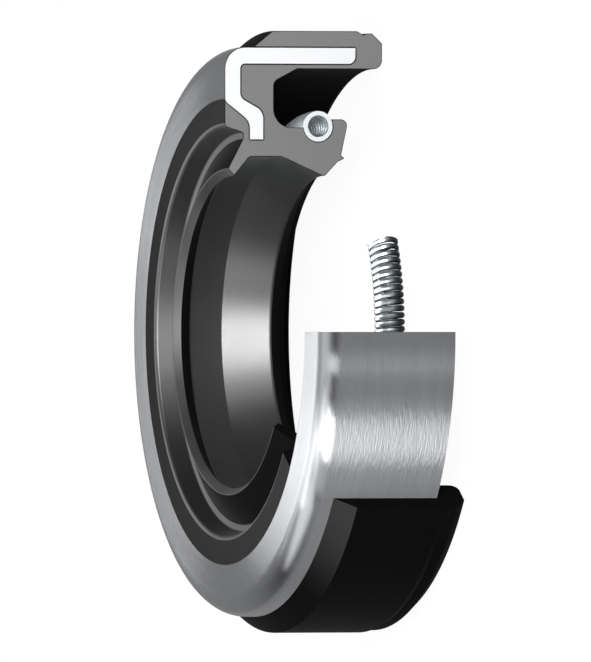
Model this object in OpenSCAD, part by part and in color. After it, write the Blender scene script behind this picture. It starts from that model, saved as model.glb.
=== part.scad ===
// Radial shaft seal with a rubber-covered case, a dust lip and a garter spring.
// It is cut open in steps, so that its section and its spring can be seen.
// The axis is Z. The seal lies on its oil-side rim at Z = 0, with the air side up.
// Depths are measured down from the air face, and radial sizes out from the axis.
// Radial sizes fill the room between shaft and housing: in another room they keep their proportions.

/* [Fit] */
// Diameter of the shaft that the lips run on
shaft_d = 19; // [16:0.5:20.5]
// Diameter of the bore that the seal is pressed into
housing_d = 35; // [34:0.5:42]
// Width of the seal along its axis
seal_w = 9.8; // [9:0.1:14]
// How far the sealing edge reaches inside the shaft's surface
lip_bite = 0.36; // [0.2:0.02:0.5]
// How far the dust lip reaches inside the shaft's surface
dust_bite = 0.36; // [0.1:0.02:0.5]
// How far the cover stands outside the bore's surface
cover_bite = 0.1; // [0.05:0.05:0.3]

/* [Case] */
// Thickness of the drawn steel sheet
sheet_t = 1; // [0.8:0.05:1.2]
// Inside radius of the bend between the cylinder and the face
bend_r = 0.25; // [0.1:0.05:0.6]
// How far the inner edge is pressed in from the face
joggle_drop = 1.53; // [1.3:0.01:1.7]
// Radial length of the slope down to the inner edge, on its air side
slope_air = 1.18; // [0.9:0.02:1.4]
// Radial length of that slope on its oil side
slope_oil = 0.77; // [0.5:0.01:0.9]
// Bend where that slope leaves the face, on its air side
slope_air_r = 0.3; // [0.1:0.05:0.5]
// Bend where it leaves the face, on its oil side
slope_oil_r = 0.45; // [0.1:0.05:0.6]
// Bends where the slope meets the inner edge
leg_r = 0.7; // [0.3:0.05:0.8]
// Thickness of the inner edge
leg_t = 0.9; // [0.8:0.05:1]
// Straight length of the inner edge on its air side
leg_air = 1.07; // [0.9:0.01:1.4]
// Straight length of the inner edge on its oil side
leg_oil = 1.71; // [1.5:0.01:1.9]
// Radial distance from the sealing edge out to the steel's inner edge
leg_clear = 2.08; // [1.9:0.02:2.4]
// Radial width from the face's inner bend to the outside of the cylinder
face_w = 3.18; // [2.8:0.02:4]
// Rounding of the cylinder's end, on its inner side
end_round = 0.45; // [0.2:0.05:0.6]

/* [Rubber cover] */
// Thickness of the rubber over the steel cylinder
cover_t = 0.95; // [0.7:0.05:1.2]
// Depth at which the cover starts
cover_start = 1.77; // [1.5:0.01:3]
// Length of the slope that leads up to the full diameter
cover_lead = 1.21; // [0.6:0.01:2]
// Thickness of the rubber inside the steel cylinder
liner_t = 0.27; // [0.2:0.01:0.5]
// Rubber beyond the end of the steel cylinder
rim_t = 1.63; // [1.2:0.01:2]
// Height at which the full diameter ends
neck_top = 1.55; // [1.4:0.01:2]
// Height of the bottom of the shallow neck
neck_low = 1.16; // [1.05:0.01:1.3]
// Depth of that neck below the full diameter
neck_depth = 0.22; // [0.16:0.02:0.3]
// Height at which the rim's bead starts
bead_top = 0.95; // [0.85:0.01:1.03]
// Height at which the bead ends and the chamfer starts
bead_low = 0.62; // [0.5:0.01:0.75]
// How far the bead stays inside the full diameter
bead_in = 0.13; // [0.05:0.01:0.15]
// Radial size of the chamfer under the bead
rim_chamfer = 0.59; // [0.4:0.01:0.8]
// Rounding of the rim's inner corner
rim_round = 0.54; // [0.3:0.02:0.6]

/* [Web] */
// Depth of the floor of the oil-side cavity
floor_depth = 3.05; // [2.8:0.05:3.3]
// Depth at which the shoulder under the steel corner ends
shoulder_depth = 4.49; // [4.1:0.01:5]
// Radial size of that shoulder
shoulder_in = 0.75; // [0.5:0.01:1]
// Rounding between the shoulder and the floor
shoulder_round = 0.4; // [0.2:0.05:0.5]
// Rounding between the floor and the lip body
root_r = 1.1; // [0.6:0.05:1.2]

/* [Sealing lip] */
// Depth of the middle of the sealing edge
lip_depth = 6.16; // [6:0.02:6.4]
// Width of the band that touches the shaft
lip_band = 0.18; // [0.06:0.02:0.24]
// Slope of the lip on its air side, in degrees
lip_air_angle = 23.6; // [21:0.1:27]
// Slope of the lip on its oil side, in degrees
lip_oil_angle = 46; // [42:0.5:50]
// Radial height of the waist above the sealing edge
waist_h = 1.11; // [1:0.01:1.2]
// Thickness of the lip body between waist and heel
lip_body_t = 1.71; // [1.6:0.01:1.9]
// Radial height of the trimmed slope on the oil side
trim_h = 0.81; // [0.7:0.01:0.9]
// Radial height of the moulding fin above the trimmed slope
fin_h = 0.38; // [0.3:0.01:0.5]
// How far the nose stands out beyond the trimmed slope, at the fin
nose_out = 0.22; // [0.1:0.01:0.3]
// How far the fin stands out beyond the nose
fin_out = 0.22; // [0.1:0.01:0.3]
// How far the nose leans towards the oil at its outer edge
nose_lean = 0.46; // [0.3:0.01:0.6]
// Rounding of the nose
nose_r = 0.4; // [0.2:0.05:0.45]
// How far the hook that holds the spring rises above the lip body
hook_rise = 0.48; // [0.3:0.01:0.6]

/* [Dust lip] */
// Depth of the dust lip's inner corner
dust_depth = 0.6; // [0.5:0.01:0.7]
// Radial size of its slanted tip
dust_tip_h = 0.38; // [0.3:0.01:0.45]
// Axial size of its slanted tip
dust_tip_w = 0.41; // [0.3:0.01:0.46]
// Depth at which its inner side meets the waist
dust_root_depth = 1.54; // [1.4:0.01:1.8]
// Rounding there
dust_root_r = 0.3; // [0.1:0.05:0.5]
// Depth of the recess behind the dust lip
recess_depth = 1.14; // [1:0.01:1.3]
// Radial distance from the sealing edge to the recess's floor
recess_in = 2.16; // [2:0.01:2.3]
// Width of that floor
recess_w = 0.35; // [0.28:0.01:0.45]
// How much the recess widens up to the air face
recess_flare = 0.35; // [0.1:0.01:0.5]

/* [Garter spring] */
// Outer diameter of the coil
coil_d = 1.8; // [1.5:0.05:1.9]
// Diameter of the wire
wire_d = 0.28; // [0.2:0.02:0.34]
// Distance between turns along the ring
coil_pitch = 0.393; // [0.35:0.001:0.5]
// Gap between the coil and the groove that holds it
groove_gap = 0.02; // [0.01:0.01:0.05]
// How far the coil's centre stands above the lip body
spring_rise = 0.07; // [0:0.01:0.2]
// How far the spring lies to the air side of the sealing edge
spring_offset = 0.34; // [0.3:0.02:0.5]

/* [Cut-away] */
// Direction of the section faces round the axis, in degrees
section_angle = 90; // [0:5:180]
// Degrees of the case that are cut away
case_open_angle = 90; // [0:5:150]
// Degrees of the rubber that are cut away
rubber_open_angle = 125.4; // [0:0.1:150]
// Degrees of the spring that are cut away
spring_open_angle = 63.5; // [20:0.5:150]

/* [Hidden] */

// Steps of a full turn for the ring pieces, and degrees for each step of a fillet
$fn = 144;
fillet_step = 12;
// Steps for each turn of the coil, and sides of its wire
coil_steps = 9;
wire_sides = 4;
// Small roundings that only take the edge off
edge_r = 0.12;

// The share of its stated size that each radial size takes in the room between shaft and housing
lip_r = shaft_d / 2 - lip_bite;
cover_r = housing_d / 2 + cover_bite;
room_fit = (cover_r - lip_r) / (leg_clear + leg_air + slope_air + face_w + cover_t);

// Radii out from the sealing edge
dust_r = shaft_d / 2 - dust_bite;
waist_r = lip_r + waist_h * room_fit;
heel_r = waist_r + lip_body_t * room_fit;
hook_r = heel_r + hook_rise * room_fit;
trim_r = lip_r + trim_h * room_fit;
fin_r = trim_r + fin_h * room_fit;
leg_tip_r = lip_r + leg_clear * room_fit;
leg_air_r = leg_tip_r + leg_air * room_fit;
face_edge_r = leg_air_r + slope_air * room_fit;
leg_oil_r = leg_tip_r + leg_oil * room_fit;
slope_end_r = leg_oil_r + slope_oil * room_fit;
recess_r = lip_r + recess_in * room_fit;
recess_wall_r = recess_r + recess_w * room_fit;

// Radii in from the cover
bead_r = cover_r - bead_in;
case_r = cover_r - cover_t * room_fit;
case_bore_r = case_r - sheet_t;
liner_r = case_bore_r - liner_t * room_fit;
shoulder_r = liner_r - shoulder_in * room_fit;

// Heights
air_z = seal_w;
case_floor_z = air_z - sheet_t;
leg_z = air_z - joggle_drop;
floor_z = air_z - floor_depth;
lip_z = air_z - lip_depth;
lip_top_z = lip_z + lip_band / 2;
lip_low_z = lip_z - lip_band / 2;
waist_z = lip_top_z + (waist_r - lip_r) / tan(lip_air_angle);
trim_z = lip_low_z - (trim_r - lip_r) / tan(lip_oil_angle);
nose_z = trim_z - nose_out;
dust_z = air_z - dust_depth;
recess_z = air_z - recess_depth;
spring_z = lip_z + spring_offset;

// Where the steel face ends at its inner bend, and where the rubber meets it flush
face_bend_a = atan2(joggle_drop, face_edge_r - leg_air_r);
flush_r = face_edge_r + slope_air_r * tan(face_bend_a / 2);

// The spring's ring, its turns, and how much of it is left
spring_r = heel_r + spring_rise * room_fit;
coil_r = (coil_d - wire_d) / 2;
ring_turns = round(2 * PI * spring_r / coil_pitch);
coil_start_a = section_angle + asin(wire_d / 2 / spring_r);
coil_sweep = section_angle + 360 - spring_open_angle - coil_start_a;
coil_stations = floor(coil_sweep / 360 * ring_turns * coil_steps);

// Corners are [radius, height, fillet]. The outline has each filleted corner drawn as an arc.
function unit(v) = v / norm(v);
function plane(corner) = [corner[0], corner[1]];
function arc(centre, start, sweep, steps) = [
    for (i = [0 : steps])
        let (a = sweep * i / steps)
            centre + [start[0] * cos(a) - start[1] * sin(a), start[0] * sin(a) + start[1] * cos(a)]
];
function fillet(before, corner, after) =
    let (
        at = plane(corner),
        back = unit(plane(before) - at),
        ahead = unit(plane(after) - at),
        half = acos(back * ahead) / 2,
        centre = at + unit(back + ahead) * corner[2] / sin(half),
        start = at + back * corner[2] / tan(half) - centre,
        sweep = (180 - 2 * half) * sign(cross(ahead, back))
    )
    arc(centre, start, sweep, ceil(abs(sweep) / fillet_step));
function outline(corners) = [
    for (i = [0 : len(corners) - 1])
        let (
            before = corners[(i + len(corners) - 1) % len(corners)],
            after = corners[(i + 1) % len(corners)]
        )
        each corners[i][2] > 0 ? fillet(before, corners[i], after) : [plane(corners[i])]
];

// Turns a section round the axis, from the section faces to where the piece is cut off
module turned(open_angle)
    rotate([0, 0, section_angle])
        rotate_extrude(angle = 360 - open_angle)
            children();

// Deep-drawn sheet: a cylinder, a flat face, and an inner edge pressed in behind the face
module case_section()
    polygon(outline([
        [case_r, rim_t, 0],
        [case_r, air_z, sheet_t + bend_r],
        [face_edge_r, air_z, slope_air_r],
        [leg_air_r, leg_z, leg_r * room_fit],
        [leg_tip_r, leg_z, 0],
        [leg_tip_r, leg_z - leg_t, 0],
        [leg_oil_r, leg_z - leg_t, leg_r * room_fit],
        [slope_end_r, case_floor_z, slope_oil_r * room_fit],
        [case_bore_r, case_floor_z, bend_r],
        [case_bore_r, rim_t, end_round]
    ]));

// Outer form of the moulded rubber. Its first corners run inside the steel, which is cut out of it.
module rubber_form()
    polygon(outline([
        [flush_r, air_z, 0],
        [flush_r, air_z - sheet_t / 2, 0],
        [case_r - sheet_t / 2, air_z - sheet_t / 2, 0],
        [case_r - sheet_t / 2, air_z - cover_start, 0],
        [case_r, air_z - cover_start, 0],
        [cover_r, air_z - cover_start - cover_lead, 0],
        [cover_r, neck_top, 0],
        [cover_r - neck_depth, neck_low, 0],
        [bead_r, bead_top, 0],
        [bead_r, bead_low, 0],
        [bead_r - rim_chamfer * room_fit, 0, 0],
        [liner_r, 0, rim_round * room_fit],
        [liner_r, air_z - shoulder_depth, 0],
        [shoulder_r, floor_z, shoulder_round * room_fit],
        [heel_r, floor_z, root_r * room_fit],
        [heel_r, spring_z, 0],
        [hook_r, spring_z, 0],
        [hook_r, nose_z - nose_lean, nose_r],
        [fin_r, nose_z, 0],
        [(trim_r + fin_r) / 2, nose_z - fin_out, 0],
        [trim_r, trim_z, 0],
        [lip_r, lip_low_z, 0],
        [lip_r, lip_top_z, 0],
        [waist_r, waist_z, edge_r],
        [waist_r, air_z - dust_root_depth, dust_root_r],
        [dust_r, dust_z, 0],
        [dust_r + dust_tip_h * room_fit, dust_z + dust_tip_w, 0],
        [recess_r, recess_z, edge_r],
        [recess_wall_r, recess_z, edge_r],
        [recess_wall_r + recess_flare * room_fit, air_z, edge_r]
    ]));

module steel_case()
    color("silver")
        turned(case_open_angle)
            case_section();

module rubber_body()
    color([0.09, 0.09, 0.09])
        turned(rubber_open_angle)
            difference() {
                rubber_form();
                case_section();
                translate([spring_r, spring_z])
                    circle(r = coil_d / 2 + groove_gap);
            }

// The wire's four corners at a station: it winds round the ring while the ring turns
function ring_out(a) = [cos(a), sin(a), 0];
function ring_on(a) = [-sin(a), cos(a), 0];
function wire_corners(station) =
    let (
        turn = station / coil_steps * 360,
        a = coil_start_a + turn / ring_turns,
        coil_out = ring_out(a) * sin(turn) + [0, 0, cos(turn)],
        coil_on = ring_out(a) * cos(turn) - [0, 0, sin(turn)],
        middle = ring_out(a) * spring_r + [0, 0, spring_z] + coil_out * coil_r,
        ahead = unit(ring_on(a) * (spring_r + coil_r * sin(turn)) + coil_on * ring_turns * coil_r),
        side = cross(ahead, coil_out)
    )
    [
        for (i = [0 : wire_sides - 1])
            let (b = i / wire_sides * 360)
                middle + (coil_out * cos(b) + side * sin(b)) * wire_d / 2
    ];
function wire_points() = [for (station = [0 : coil_stations]) each wire_corners(station)];
function wire_faces() = [
    for (station = [0 : coil_stations - 1], i = [0 : wire_sides - 1])
        let (
            here = station * wire_sides,
            there = here + wire_sides,
            next = (i + 1) % wire_sides
        )
        each [[here + i, there + i, there + next], [here + i, there + next, here + next]],
    [for (i = [0 : wire_sides - 1]) i],
    [for (i = [wire_sides - 1 : -1 : 0]) coil_stations * wire_sides + i]
];

// Garter spring: one wire wound in a coil that runs round the lip
module garter_spring()
    color("lightsteelblue")
        polyhedron(points = wire_points(), faces = wire_faces());

steel_case();
rubber_body();
garter_spring();
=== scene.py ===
"""A radial shaft seal, cut open in steps: a steel case in a rubber cover, with its two lips and its garter spring."""

import math

import bmesh
import bpy
from mathutils import Matrix, Vector
from mathutils.geometry import intersect_point_line


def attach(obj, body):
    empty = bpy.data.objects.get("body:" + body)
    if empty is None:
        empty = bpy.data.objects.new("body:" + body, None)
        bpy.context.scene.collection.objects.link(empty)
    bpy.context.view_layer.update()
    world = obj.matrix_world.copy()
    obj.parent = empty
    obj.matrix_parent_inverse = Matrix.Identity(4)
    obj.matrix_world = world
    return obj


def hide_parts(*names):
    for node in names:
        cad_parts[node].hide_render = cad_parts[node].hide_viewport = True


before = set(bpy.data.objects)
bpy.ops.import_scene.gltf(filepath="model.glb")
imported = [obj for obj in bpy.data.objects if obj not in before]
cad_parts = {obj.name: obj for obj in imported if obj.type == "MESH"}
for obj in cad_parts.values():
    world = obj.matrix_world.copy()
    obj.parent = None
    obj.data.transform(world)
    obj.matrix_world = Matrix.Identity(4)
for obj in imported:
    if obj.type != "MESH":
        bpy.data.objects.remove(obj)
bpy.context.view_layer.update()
scene = bpy.context.scene


# Camera
# The photograph looks at the seal with its axis almost level in the picture, from a little over the air side.
# It was taken from far off, so the ring hardly narrows with depth.

MM = 0.001
PHOTO_HEIGHT_PX = 662
PX_PER_M = 17115
# The middle of the picture lies this far to the right of the air face's centre, and above it
MIDDLE_RIGHT_PX = 70.8
MIDDLE_UP_PX = 0.9
AIR_FACE_Z = 9.8 * MM
VIEW_TILT = math.radians(20.17)
CAMERA_DISTANCE = 1.55
SENSOR_MM = 36

picture_right = Vector((math.sin(VIEW_TILT), 0, -math.cos(VIEW_TILT)))
picture_up = Vector((0, 1, 0))
picture_back = Vector((math.cos(VIEW_TILT), 0, math.sin(VIEW_TILT)))
middle = Vector((0, 0, AIR_FACE_Z)) + (picture_right * MIDDLE_RIGHT_PX + picture_up * MIDDLE_UP_PX) / PX_PER_M

camera = bpy.data.cameras.new("camera")
camera.sensor_width = SENSOR_MM
camera.lens = SENSOR_MM * CAMERA_DISTANCE * PX_PER_M / PHOTO_HEIGHT_PX
camera_object = bpy.data.objects.new("camera", camera)
scene.collection.objects.link(camera_object)
camera_axes = Matrix((picture_right, picture_up, picture_back)).transposed().to_4x4()
camera_object.matrix_world = Matrix.Translation(middle + picture_back * CAMERA_DISTANCE) @ camera_axes
scene.camera = camera_object
scene.view_settings.view_transform = "Standard"


# Steel case
# A cup drawn from 1 mm sheet and polished as it turned, so fine lines run round the axis. Round the hole in its
# floor the sheet is pressed in, where the rubber holds it. A quarter of the case is sawn out.
# The sawn sheet at the section plane is painted white, as on a cut-away made for display.

CASE_SWEEP = 270
DEGREES_PER_STEP = 1.25
STEPS_PER_RADIAN = 7
SHARP_ANGLE = math.radians(28)
PAINT_T = 0.01 * MM
BARE_LINE = 0.04 * MM
DAB = 0.1 * MM
HAIR = 0.001 * MM

# Millimetres, as in the corners below, each of which is a radius, a height and a rounding
AIR_FACE = 9.8
CASE_R = 16.65
CASE_BORE_R = 15.65
CASE_FLOOR = 8.8
CASE_END = 1.63
LEG_R = 11.22
CASE_CORNERS = [
    (CASE_R, CASE_END, 0),
    (CASE_R, AIR_FACE, 1.25),
    (13.47, AIR_FACE, 0.3),
    (12.29, 8.27, 0.7),
    (LEG_R, 8.27, 0),
    (LEG_R, 7.37, 0),
    (12.93, 7.37, 0.7),
    (13.7, CASE_FLOOR, 0.45),
    (CASE_BORE_R, CASE_FLOOR, 0.25),
    (CASE_BORE_R, CASE_END, 0.45),
]


class Wire:
    """A node's output that sums can be written with. Each sum adds its Math node."""

    def __init__(self, shading, socket):
        self.shading = shading
        self.socket = socket

    def math(self, operation, *values):
        return self.shading.node("ShaderNodeMath", {"operation": operation}, values)

    def root(self):
        return self.math("SQRT", self)

    def __add__(self, other):
        return self.math("ADD", self, other)

    def __sub__(self, other):
        return self.math("SUBTRACT", self, other)

    def __rsub__(self, other):
        return self.math("SUBTRACT", other, self)

    def __mul__(self, other):
        return self.math("MULTIPLY", self, other)

    def __truediv__(self, other):
        return self.math("DIVIDE", self, other)

    __radd__ = __add__
    __rmul__ = __mul__


class Shading:
    """A tree of nodes, and the one method that adds to it."""

    def __init__(self, tree):
        self.tree = tree

    def join(self, value, socket):
        if isinstance(value, Wire):
            self.tree.links.new(value.socket, socket)
        else:
            socket.default_value = value

    def node(self, kind, settings, values, output=0):
        made = self.tree.nodes.new(kind)
        for name, value in settings.items():
            if name == "stops":
                stops = made.color_ramp.elements
                for stop, (at, tone) in zip((stops[0], stops[1]), (value[0], value[-1])):
                    stop.position = at
                    stop.color = tone
                for at, tone in value[1:-1]:
                    stops.new(at).color = tone
            else:
                setattr(made, name, value)
        for key, value in values.items() if isinstance(values, dict) else enumerate(values):
            self.join(value, made.inputs[key])
        return Wire(self, made.outputs[output])

    def step(self, value, start, end):
        """Goes smoothly from 0 to 1 as value goes from start to end."""
        return self.node(
            "ShaderNodeMapRange", {"interpolation_type": "SMOOTHSTEP"},
            {"Value": value, "From Min": start, "From Max": end},
        )


class Finish(Shading):
    """A material, its shader and what varies over the surface."""

    def __init__(self, name, colour, roughness, metallic=0.0, specular=0.5):
        self.material = bpy.data.materials.new(name)
        self.material.use_nodes = True
        self.material.diffuse_color = (*colour, 1)
        super().__init__(self.material.node_tree)
        self.shader = self.tree.nodes["Principled BSDF"]
        self.set("Base Color", (*colour, 1))
        self.set("Roughness", roughness)
        self.set("Metallic", metallic)
        self.set("Specular IOR Level", specular)

    def set(self, name, value):
        self.join(value, self.shader.inputs[name])

    def place(self):
        """x, y and z on the object, in metres."""
        point = self.node("ShaderNodeTexCoord", {}, (), output="Object")
        return [self.node("ShaderNodeSeparateXYZ", {}, (point,), output=axis) for axis in "XYZ"]

    def noise(self, x, y, z, detail=2.0):
        """Noise from 0 to 1, with one blotch to each unit of x, y and z."""
        point = self.node("ShaderNodeCombineXYZ", {}, (x, y, z))
        return self.node("ShaderNodeTexNoise", {}, {"Vector": point, "Scale": 1.0, "Detail": detail})

    def mix(self, share, colour, other):
        colours = {0: share, 6: (*colour, 1), 7: (*other, 1)}
        return self.node("ShaderNodeMix", {"data_type": "RGBA"}, colours, output=2)

    def bump(self, height, depth):
        """Raises the surface by the depth, in metres, where height is 1."""
        self.set("Normal", self.node("ShaderNodeBump", {}, {"Height": height, "Distance": depth}))


def turning_lines(finish, length, width):
    """Noise that is drawn out round the axis, into lines of about that length and width."""
    x, y, z = finish.place()
    radius = (x * x + y * y).root()
    around = CASE_R * MM / length
    return finish.noise(x / radius * around, y / radius * around, (z - radius) * (1 / width), detail=1)


steel = Finish("polished_steel", (0.58, 0.59, 0.61), roughness=0.3, metallic=1)
steel.set("Anisotropic", 1.0)
steel.set("Anisotropic Rotation", 0.25)
short_lines = turning_lines(steel, length=0.8 * MM, width=0.1 * MM)
long_lines = turning_lines(steel, length=6 * MM, width=0.3 * MM)
# The drawn corner slid over the die, so it is smoother than the wall
_, _, z = steel.place()
on_wall = steel.step(z, 9.1 * MM, 8.4 * MM)
steel.set("Roughness", 0.17 + 0.1 * on_wall + 0.05 * short_lines + 0.03 * long_lines)
steel.set("Base Color", steel.mix(long_lines, (0.54, 0.55, 0.57), (0.62, 0.63, 0.65)))
steel.bump(short_lines, (0.003 * MM) * (1 + 5 * on_wall))

white_paint = Finish("white_section_paint", (0.92, 0.93, 0.94), roughness=0.55)
bare_edge = Finish("bare_cut_edge", (0.04, 0.04, 0.042), roughness=0.5)


def section_point(radius, height):
    """A point of the section plane, from millimetres."""
    return Vector((0, radius, height)) * MM


def round_corners(bm, corners):
    for radius, height, rounding in corners:
        if rounding:
            corner = min(bm.verts, key=lambda vert: (vert.co - section_point(radius, height)).length)
            sides = [edge.other_vert(corner).co - corner.co for edge in corner.link_edges]
            turn = math.pi - sides[0].angle(sides[1])
            bmesh.ops.bevel(
                bm, geom=[corner], offset=rounding * MM * math.tan(turn / 2), offset_type="OFFSET",
                affect="VERTICES", segments=max(3, round(turn * STEPS_PER_RADIAN)), profile=0.5, material=-1,
            )


def turn_ring(bm, sweep):
    """Turns the flat section in bm round the axis, by that many degrees."""
    bmesh.ops.spin(
        bm, geom=bm.faces[:], cent=(0, 0, 0), axis=(0, 0, 1),
        angle=math.radians(sweep), steps=round(sweep / DEGREES_PER_STEP),
    )
    bmesh.ops.recalc_face_normals(bm, faces=bm.faces[:])
    for face in bm.faces:
        face.smooth = True


def gap_to_side(point, start, end):
    share = intersect_point_line(point, start, end)[1]
    return (point - start.lerp(end, min(max(share, 0), 1))).length


def coat_of_paint(flat_section):
    """A film of paint on the cut. It stops short of the edge, which stays as a bare line."""
    flat_section.normal_update()
    cut = flat_section.faces[:][0]
    corners = [vert.co + Vector((PAINT_T, 0, 0)) for vert in cut.verts]
    sides = list(zip(corners, corners[1:] + corners[:1]))
    film = bmesh.new()
    brim = []
    for start, end in sides:
        side = end - start
        inward = cut.normal.cross(side).normalized()
        dabs = max(1, round(side.length / DAB))
        for dab in range(dabs):
            point = start + side * (dab + 0.5) / dabs + inward * BARE_LINE
            if min(gap_to_side(point, *other) for other in sides) > 0.95 * BARE_LINE:
                brim.append(film.verts.new(point))
    film.faces.new(brim)
    bmesh.ops.remove_doubles(film, verts=film.verts[:], dist=0.1 * DAB)
    bmesh.ops.dissolve_limit(film, verts=film.verts[:], edges=film.edges[:], angle_limit=math.radians(0.5))
    copy = bmesh.ops.extrude_face_region(film, geom=film.faces[:], use_keep_orig=True)["geom"]
    back = [part for part in copy if isinstance(part, bmesh.types.BMVert)]
    bmesh.ops.translate(film, verts=back, vec=(-2 * PAINT_T, 0, 0))
    bmesh.ops.recalc_face_normals(film, faces=film.faces[:])
    return film


def make_piece(name, bm, finishes, node):
    """Makes an object of bm, which takes the CAD node's place on the seal."""
    mesh = bpy.data.meshes.new(name)
    bm.to_mesh(mesh)
    bm.free()
    for finish in finishes:
        mesh.materials.append(finish.material)
    mesh.set_sharp_from_angle(angle=SHARP_ANGLE)
    piece = bpy.data.objects.new(name, mesh)
    scene.collection.objects.link(piece)
    even = piece.modifiers.new("even shading", "WEIGHTED_NORMAL")
    even.keep_sharp = True
    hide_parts(node)
    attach(piece, "root")
    return piece


case = bmesh.new()
case.faces.new([case.verts.new(section_point(radius, height)) for radius, height, _ in CASE_CORNERS])
round_corners(case, CASE_CORNERS)
white_film = make_piece("case_cut_paint", coat_of_paint(case), [white_paint], "steel_case")
turn_ring(case, CASE_SWEEP)
for face in case.faces:
    if abs(face.calc_center_median().x) < HAIR and abs(face.normal.x) > 0.99:
        face.material_index = 1
        face.smooth = False
drawn_case = make_piece("drawn_case", case, [steel, bare_edge], "steel_case")


# Rubber body
# Nitrile rubber, moulded round the case and bonded to it: cover, web, sealing lip with its spring groove, and
# dust lip. Only the air face is left bare. The rubber is cut back further than the case, so that the steel shows.
# At the section plane it is painted grey. The other cut is left as it came from the knife.

RUBBER_SWEEP = 234.6
PORES_PER_M = 9000
PORE_DEPTH = 0.0012 * MM
CLOUDS_PER_M = 400
GRAINS_PER_M = 12000

# Millimetres, as in the corners below, which lie before and after the spring's groove
COVER_R = 17.6
LINER_R = 15.38
WEB_END = 6.75
WAIST_R = 10.25
LIP_R = 9.14
GROOVE_EDGE_R = 11.96
GROOVE_CENTRE = (12.03, 3.98)
GROOVE_SWEEP = 202
GROOVE_STEPS = 24
COVER_CORNERS = [
    CASE_CORNERS[0],
    (CASE_R, 8.03, 0),
    (COVER_R, 6.82, 0.1),
    (COVER_R, 1.55, 0.08),
    (17.38, 1.16, 0.08),
    (17.47, 0.95, 0),
    (17.47, 0.62, 0.08),
    (16.88, 0, 0.08),
    (LINER_R, 0, 0.54),
    (LINER_R, 5.31, 0.1),
    (14.63, WEB_END, 0.4),
    (GROOVE_EDGE_R, WEB_END, 1.1),
    (GROOVE_EDGE_R, 4.897, 0),
]
LIP_CORNERS = [
    (12.44, 2.09, 0.4),
    (10.33, 2.55, 0.05),
    (10.15, 2.33, 0.05),
    (9.95, 2.77, 0.05),
    (LIP_R, 3.55, 0),
    (LIP_R, 3.73, 0),
    (WAIST_R, 6.27, 0.15),
    (WAIST_R, 8.26, 0.3),
    (LIP_R, 9.2, 0),
    (9.52, 9.61, 0.05),
    (11.3, 8.66, 0.12),
    (11.65, 8.66, 0.12),
    (12.0, AIR_FACE, 0.25),
    (13.618, AIR_FACE, 0),
    (13.566, 9.795, 0),
    (13.468, 9.76, 0),
    *CASE_CORNERS[3:],
]


def black_rubber(name, tone, roughness, specular):
    rubber = Finish(name, (tone, tone, tone), roughness, specular=specular)
    x, y, z = rubber.place()
    pores = rubber.noise(x * PORES_PER_M, y * PORES_PER_M, z * PORES_PER_M)
    clouds = rubber.noise(x * CLOUDS_PER_M, y * CLOUDS_PER_M, z * CLOUDS_PER_M)
    rubber.set("Roughness", roughness - 0.07 + 0.08 * pores + 0.06 * clouds)
    rubber.set("Base Color", rubber.mix(clouds, (0.8 * tone,) * 3, (1.2 * tone,) * 3))
    rubber.bump(pores, PORE_DEPTH)
    return rubber


# The cover comes dull from its mould. The lips are moulded against a polished core.
cover_rubber = black_rubber("cover_rubber", tone=0.002, roughness=0.5, specular=0.03)
lip_rubber = black_rubber("lip_rubber", tone=0.009, roughness=0.36, specular=1.0)
slope_rubber = black_rubber("slope_rubber", tone=0.006, roughness=0.42, specular=0.5)
face_rubber = black_rubber("face_rubber", tone=0.004, roughness=0.5, specular=0.1)
# The cover's lead slope was rubbed smooth next to the cut
lead_rubber = black_rubber("lead_rubber", tone=0.002, roughness=0.5, specular=0.03)
x, _, _ = lead_rubber.place()
lead_rubber.set("Coat Weight", lead_rubber.step(x, 7 * MM, 15 * MM))
lead_rubber.set("Coat Roughness", 0.4)

grey_paint = Finish("grey_section_paint", (0.22, 0.22, 0.222), roughness=0.6)
x, y, z = grey_paint.place()
grain = grey_paint.noise(x * GRAINS_PER_M, y * GRAINS_PER_M, z * GRAINS_PER_M, detail=3)
grey_paint.set("Base Color", grey_paint.mix(grain, (0.17, 0.17, 0.172), (0.25, 0.25, 0.252)))

# Where each finish shows: inner and outer radius, low and high height, in millimetres. The cover's has the rest.
FINISH_ZONES = {
    lip_rubber: [(9.1, 10.3, 3.6, 8.3), (9.1, 9.6, 9.15, 9.7), (11.15, 11.8, 8.6, 8.8), (11.7, 12.25, 9.5, 9.9)],
    slope_rubber: [(11.6, 12.1, 8.8, 9.5)],
    lead_rubber: [(16.7, 17.5, 6.9, 8.0)],
    face_rubber: [(12.25, 13.6, 9.78, 9.82)],
}

body = bmesh.new()
outline = [body.verts.new(section_point(radius, height)) for radius, height, _ in COVER_CORNERS]
bmesh.ops.spin(
    body, geom=[outline[-1]], cent=section_point(*GROOVE_CENTRE), axis=(1, 0, 0),
    angle=math.radians(GROOVE_SWEEP), steps=GROOVE_STEPS,
)
outline = body.verts[:]
outline += [body.verts.new(section_point(radius, height)) for radius, height, _ in LIP_CORNERS]
body.faces.new(outline)
round_corners(body, COVER_CORNERS + LIP_CORNERS)
grey_film = make_piece("rubber_cut_paint", coat_of_paint(body), [grey_paint], "rubber_body")
turn_ring(body, RUBBER_SWEEP)
for face in body.faces:
    radius = face.calc_center_median().xy.length / MM
    height = face.calc_center_median().z / MM
    for index, zones in enumerate(FINISH_ZONES.values(), start=1):
        if any(inner < radius < outer and low < height < high for inner, outer, low, high in zones):
            face.material_index = index
rubber_finishes = [cover_rubber, *FINISH_ZONES]
moulded_body = make_piece("moulded_body", body, rubber_finishes, "rubber_body")
# As in the photograph, the steel shows no mirror image of the black cover
moulded_body.visible_glossy = False


# Garter spring
# One steel wire, wound in a close coil and laid round the lip in its groove, where it draws the lip down on
# the shaft. Both its ends are cut. The free end stands out over the opened part of the seal.

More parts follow.
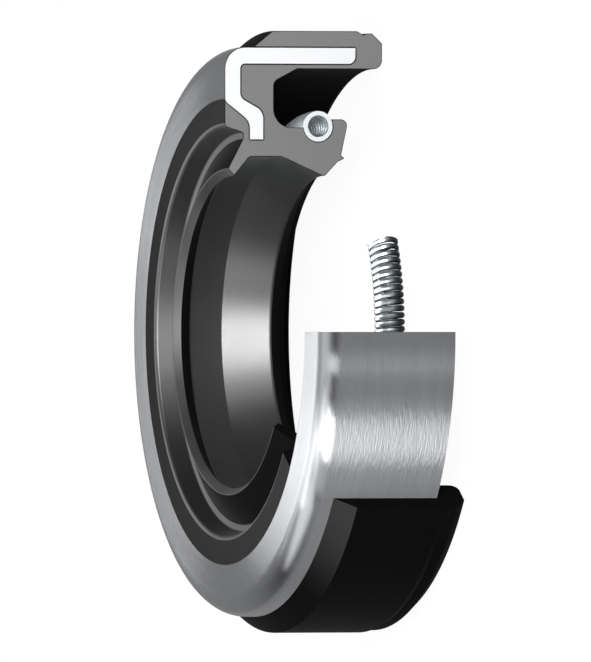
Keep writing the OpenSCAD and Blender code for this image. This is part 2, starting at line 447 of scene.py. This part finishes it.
SPRING_R, SPRING_Z = (size * MM for size in GROOVE_CENTRE)
COIL_R = 0.77 * MM
WIRE_THICK = 0.26 * MM
WIRE_WIDE = 0.35 * MM
TURN_GAP = 0.03 * MM
TURNS_ROUND = 192
# Where the coil's two ends lie round the axis, the free one past a full turn, in degrees
SECTION_ANGLE = 90
FREE_ANGLE = 385.5
TURN_STEPS = 22
WIRE_SIDES = 8
# The share of a turn by which the second one sinks early behind the closed one
SINK_SHARE = 0.06
SEAM = 0.00002 * MM

wire_finish = Finish("spring_wire", (0.75, 0.79, 0.8), roughness=0.34, metallic=1)
x, y, z = wire_finish.place()
from_ring = (x * x + y * y).root() - SPRING_R
from_level = z - SPRING_Z
from_core = (from_ring * from_ring + from_level * from_level).root()
# The inside of the coil is bright. Shade is painted on the outside: darker on the side that faces down, and
# in the crevices between the turns. Grease dulls the half of the coil that lies behind the section plane.
outside = wire_finish.step(from_core, COIL_R - 0.1 * MM, COIL_R - 0.02 * MM)
# Painted shadow in the crevices between the turns
crevice_shade_painted = wire_finish.step(from_core, COIL_R + 0.1 * MM, COIL_R + 0.04 * MM)
# Painted shade on the side of the wire that faces down
shade_painted_below = wire_finish.step(from_level, 0.25 * MM, -0.35 * MM)
greased = outside * wire_finish.step(x, 0.1 * MM, -0.3 * MM)
wire_finish.set("Roughness", 0.36 - 0.08 * outside + 0.27 * greased)
wire_tones = [(0, (0.86, 0.92, 0.94, 1)), (0.5, (0.22, 0.24, 0.25, 1)), (1, (0.02, 0.023, 0.025, 1))]
# How much painted shade darkens the wire's colour, from 0 to 1
painted_shade_amount = outside * (0.85 * shade_painted_below + (0.45 + 0.3 * shade_painted_below) * crevice_shade_painted)
wire_finish.set("Base Color", wire_finish.node("ShaderNodeValToRGB", {"stops": wire_tones}, (painted_shade_amount,)))

ring_paint = Finish("pale_section_paint", (0.78, 0.82, 0.84), roughness=0.55)

# How far the wire winds, in radians, while it climbs from one end to the other
climbing = (FREE_ANGLE - SECTION_ANGLE) / 360 * TURNS_ROUND * math.tau


def ring_out(angle):
    return Vector((math.cos(angle), math.sin(angle), 0))


def ring_on(angle):
    return Vector((-math.sin(angle), math.cos(angle), 0))


def wire_point(wound, around):
    """A point of the wire, from how far it has wound and from the direction round the wire, in radians."""
    angle = math.radians(SECTION_ANGLE) + min(max(wound - math.tau, 0), climbing) / TURNS_ROUND
    out_from_core = math.sin(wound) * ring_out(angle) + Vector((0, 0, math.cos(wound)))
    run = math.cos(wound) * ring_out(angle) - Vector((0, 0, math.sin(wound)))
    run = run * COIL_R + ring_on(angle) * SPRING_R / TURNS_ROUND
    beside = run.cross(out_from_core).normalized()
    thick = WIRE_THICK / 2 * math.cos(around) * out_from_core
    wide = WIRE_WIDE / 2 * math.sin(around) * beside
    return SPRING_R * ring_out(angle) + Vector((0, 0, SPRING_Z)) + COIL_R * out_from_core + (thick + wide)


spring = bmesh.new()
# A flat strip, one step long to each of its rows, is rolled up into the wire and laid along the coil. The turn
# at each end is closed and lies in the plane of the cut, which takes half of its wire off.
bmesh.ops.create_grid(
    spring, x_segments=round((climbing / math.tau + 2) * TURN_STEPS), y_segments=WIRE_SIDES, size=0.5
)
section_square = ring_on(math.radians(SECTION_ANGLE))
free_square = ring_on(math.radians(FREE_ANGLE))
for vert in spring.verts:
    wound = (climbing + 2 * math.tau) * (vert.co.x + 0.5)
    vert.co = wire_point(wound, around=math.tau * vert.co.y)
    if wound < 2 * math.tau:
        sunk = wound > (1 - SINK_SHARE) * math.tau
        vert.co -= min(0, vert.co.dot(section_square) - sunk * TURN_GAP) * section_square
    if wound > climbing:
        sunk = wound < climbing + (1 + SINK_SHARE) * math.tau
        vert.co -= max(0, vert.co.dot(free_square) + sunk * TURN_GAP) * free_square
bmesh.ops.remove_doubles(spring, verts=spring.verts[:], dist=SEAM)
bmesh.ops.holes_fill(spring, edges=[edge for edge in spring.edges if edge.is_boundary], sides=0)
bmesh.ops.recalc_face_normals(spring, faces=spring.faces[:])
for face in spring.faces:
    painted, cut_free = (
        all(abs(vert.co.dot(square)) < 1.1 * TURN_GAP for vert in face.verts)
        for square in (section_square, free_square)
    )
    face.material_index = int(painted)
    face.smooth = not (painted or cut_free)
coiled_spring = make_piece("coiled_spring", spring, [wire_finish, ring_paint], "garter_spring")


# Floor and studio
# A plain pale floor, on which the seal lies with its rim down, in a dim room with soft lamps.
# The camera looks down on the floor, so it is all of the background.

FLOOR_HALF = 1.5
FLOOR_DROP = 0.1 * MM
LAMP_DISTANCE = 0.4

floor_mesh = bpy.data.meshes.new("floor")
floor_plane = bmesh.new()
bmesh.ops.create_grid(
    floor_plane, x_segments=1, y_segments=1, size=FLOOR_HALF, matrix=Matrix.Translation((0, 0, -FLOOR_DROP))
)
floor_plane.to_mesh(floor_mesh)
floor_plane.free()
floor = bpy.data.objects.new("floor", floor_mesh)
scene.collection.objects.link(floor)

floor_finish = Finish("pale_floor", (0.3, 0.3, 0.3), roughness=0.9, specular=0.0)
seen, mirrored, through = (
    floor_finish.node("ShaderNodeLightPath", {}, (), output=ray)
    for ray in ("Is Camera Ray", "Is Glossy Ray", "Is Transmission Ray")
)
white = floor_finish.node("ShaderNodeEmission", {}, {"Color": (1, 1, 1, 1), "Strength": 1.35})
matt = Wire(floor_finish, floor_finish.shader.outputs["BSDF"])
whiteness = 0.7 * seen + 0.07 * mirrored + 0.7 * through
surface = floor_finish.node("ShaderNodeMixShader", {}, (whiteness, matt, white))
floor_finish.join(surface, floor_finish.tree.nodes["Material Output"].inputs["Surface"])
floor_mesh.materials.append(floor_finish.material)


def direction(azimuth, elevation):
    """Out from the seal, in degrees: azimuth from +X towards +Y, elevation up from the floor."""
    turn = math.radians(azimuth)
    rise = math.radians(elevation)
    return Vector((math.cos(rise) * math.cos(turn), math.cos(rise) * math.sin(turn), math.sin(rise)))


def hang_lamp(name, place, aim, wide, high, radiance, lit_pieces=()):
    """A soft lamp, in metres, that faces the point aimed at. Screens keep it to the lit pieces."""
    lamp = bpy.data.lights.new(name, "AREA")
    lamp.shape = "RECTANGLE"
    lamp.size = wide
    lamp.size_y = high
    lamp.energy = radiance * math.pi * wide * high
    hung = bpy.data.objects.new(name, lamp)
    hung.visible_camera = False
    scene.collection.objects.link(hung)
    back = (place - aim).normalized()
    across = Vector((0, 0, 1)).cross(back).normalized()
    axes = Matrix((across, back.cross(across), back)).transposed().to_4x4()
    hung.matrix_world = Matrix.Translation(place) @ axes
    if lit_pieces:
        hung.light_linking.receiver_collection = bpy.data.collections.new(name)
        for piece in lit_pieces:
            hung.light_linking.receiver_collection.objects.link(piece)


matt_pieces = [white_film, grey_film, coiled_spring, floor]
# Azimuth, elevation, width and height in degrees, radiance, and the pieces that the lamp is kept to
FAR_LAMPS = {
    "key_lamp": (12.5, 27, 27, 14, 18, matt_pieces),
    "key_foot": (12.5, 13, 27, 13, 5, matt_pieces),
    "lip_lamp": (5, 27, 40, 18, 22, [moulded_body]),
    "lip_tail": (37, 27, 28, 18, 3.5, [moulded_body]),
    "tip_lamp": (0, 66, 60, 16, 6, [moulded_body]),
    "spring_lamp": (160, 76, 240, 56, 2.3, [coiled_spring]),
    "coil_lamp": (5, 56, 60, 30, 1.6, [coiled_spring]),
    "slope_lamp": (-98, 34, 36, 24, 1.2, [moulded_body]),
    "bend_lamp": (-95, 38, 50, 34, 1.0, [drawn_case]),
    "high_lamp": (5, 78, 130, 50, 0.5, []),
    "thin_strip": (-13, 22, 7, 44, 1.0, []),
    "side_strip": (-43, 22, 20, 46, 3.0, []),
    "side_core": (-46, 22, 10, 46, 0.8, []),
    "side_tail": (-60, 22, 15, 46, 0.5, []),
    "arch_foot": (-24, 50, 24, 16, 0.8, []),
    "arch_front": (-62, 60, 40, 20, 1.9, []),
    "arch_top": (-128, 62, 48, 18, 1.9, []),
    "arch_back": (-160, 46, 20, 16, 0.7, []),
}
seal_middle = Vector((0, 0, 5 * MM))
for name, (azimuth, elevation, wide, high, radiance, lit_pieces) in FAR_LAMPS.items():
    across = math.radians(wide) * math.cos(math.radians(elevation)) * LAMP_DISTANCE
    upright = math.radians(high) * LAMP_DISTANCE
    place = seal_middle + LAMP_DISTANCE * direction(azimuth, elevation)
    hang_lamp(name, place, seal_middle, across, upright, radiance, lit_pieces)
# A card close over the air face brightens the steel towards the cut
card_place = Vector((-28, 2.5, 36)) * MM
card_aim = Vector((15, 2.5, 10)) * MM
hang_lamp("back_card", card_place, card_aim, wide=35 * MM, high=26 * MM, radiance=1.7)

world = bpy.data.worlds.new("studio")
world.use_nodes = True
scene.world = world
room = Shading(world.node_tree)
toward = room.node("ShaderNodeTexCoord", {}, (), output="Generated")
ahead, _, above = [room.node("ShaderNodeSeparateXYZ", {}, (toward,), output=axis) for axis in "XYZ"]
dim_room = 0.07 + 0.18 * room.step(ahead, -0.4, -0.95) + 0.25 * room.step(above, 0.45, 0.95)
seen = room.node("ShaderNodeLightPath", {}, (), output="Is Camera Ray")
background = room.tree.nodes["Background"]
room.join((1, 1, 1, 1), background.inputs["Color"])
room.join(seen + (1 - seen) * dim_room, background.inputs["Strength"])
